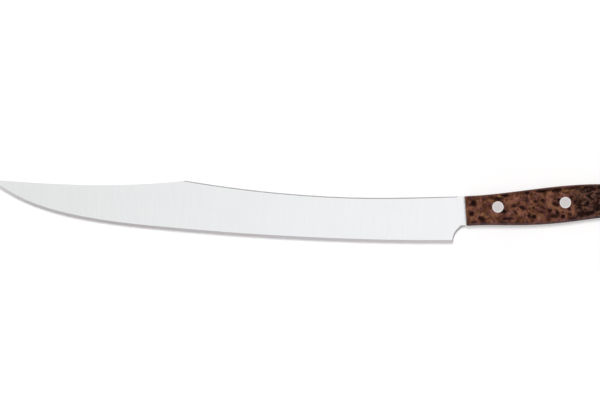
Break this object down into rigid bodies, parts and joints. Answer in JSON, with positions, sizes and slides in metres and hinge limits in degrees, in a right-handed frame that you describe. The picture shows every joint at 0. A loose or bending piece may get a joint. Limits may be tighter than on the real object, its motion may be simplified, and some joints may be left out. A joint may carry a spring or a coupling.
{
  "type": "carving knife",
  "caption": "Long carving knife with a clip point, a humped spine, a notched heel, a full tang between dark burl wood scales and flush steel rivets, lying on its side.",
  "frame": {"origin": "middle of the knife's bounding box, on the surface that its lower scale lies on", "axes": "knife flat on its side: tip towards -X, butt towards +X, spine towards +Y, cutting edge towards -Y, thickness along Z"},
  "size_m": [0.4428, 0.0414, 0.018],
  "materials": {
    "blade_steel": "fine satin",
    "burl_wood": "oiled and polished",
    "rivet_steel": "turned"
  },
  "bodies": {
    "root": {"blade": "blade_steel", "scale_lower": "burl_wood", "scale_upper": "burl_wood", "rivet_front_socket": "rivet_steel", "rivet_front_post": "rivet_steel", "rivet_middle_socket": "rivet_steel", "rivet_middle_post": "rivet_steel", "rivet_rear_socket": "rivet_steel", "rivet_rear_post": "rivet_steel"}
  },
  "joints": []
}
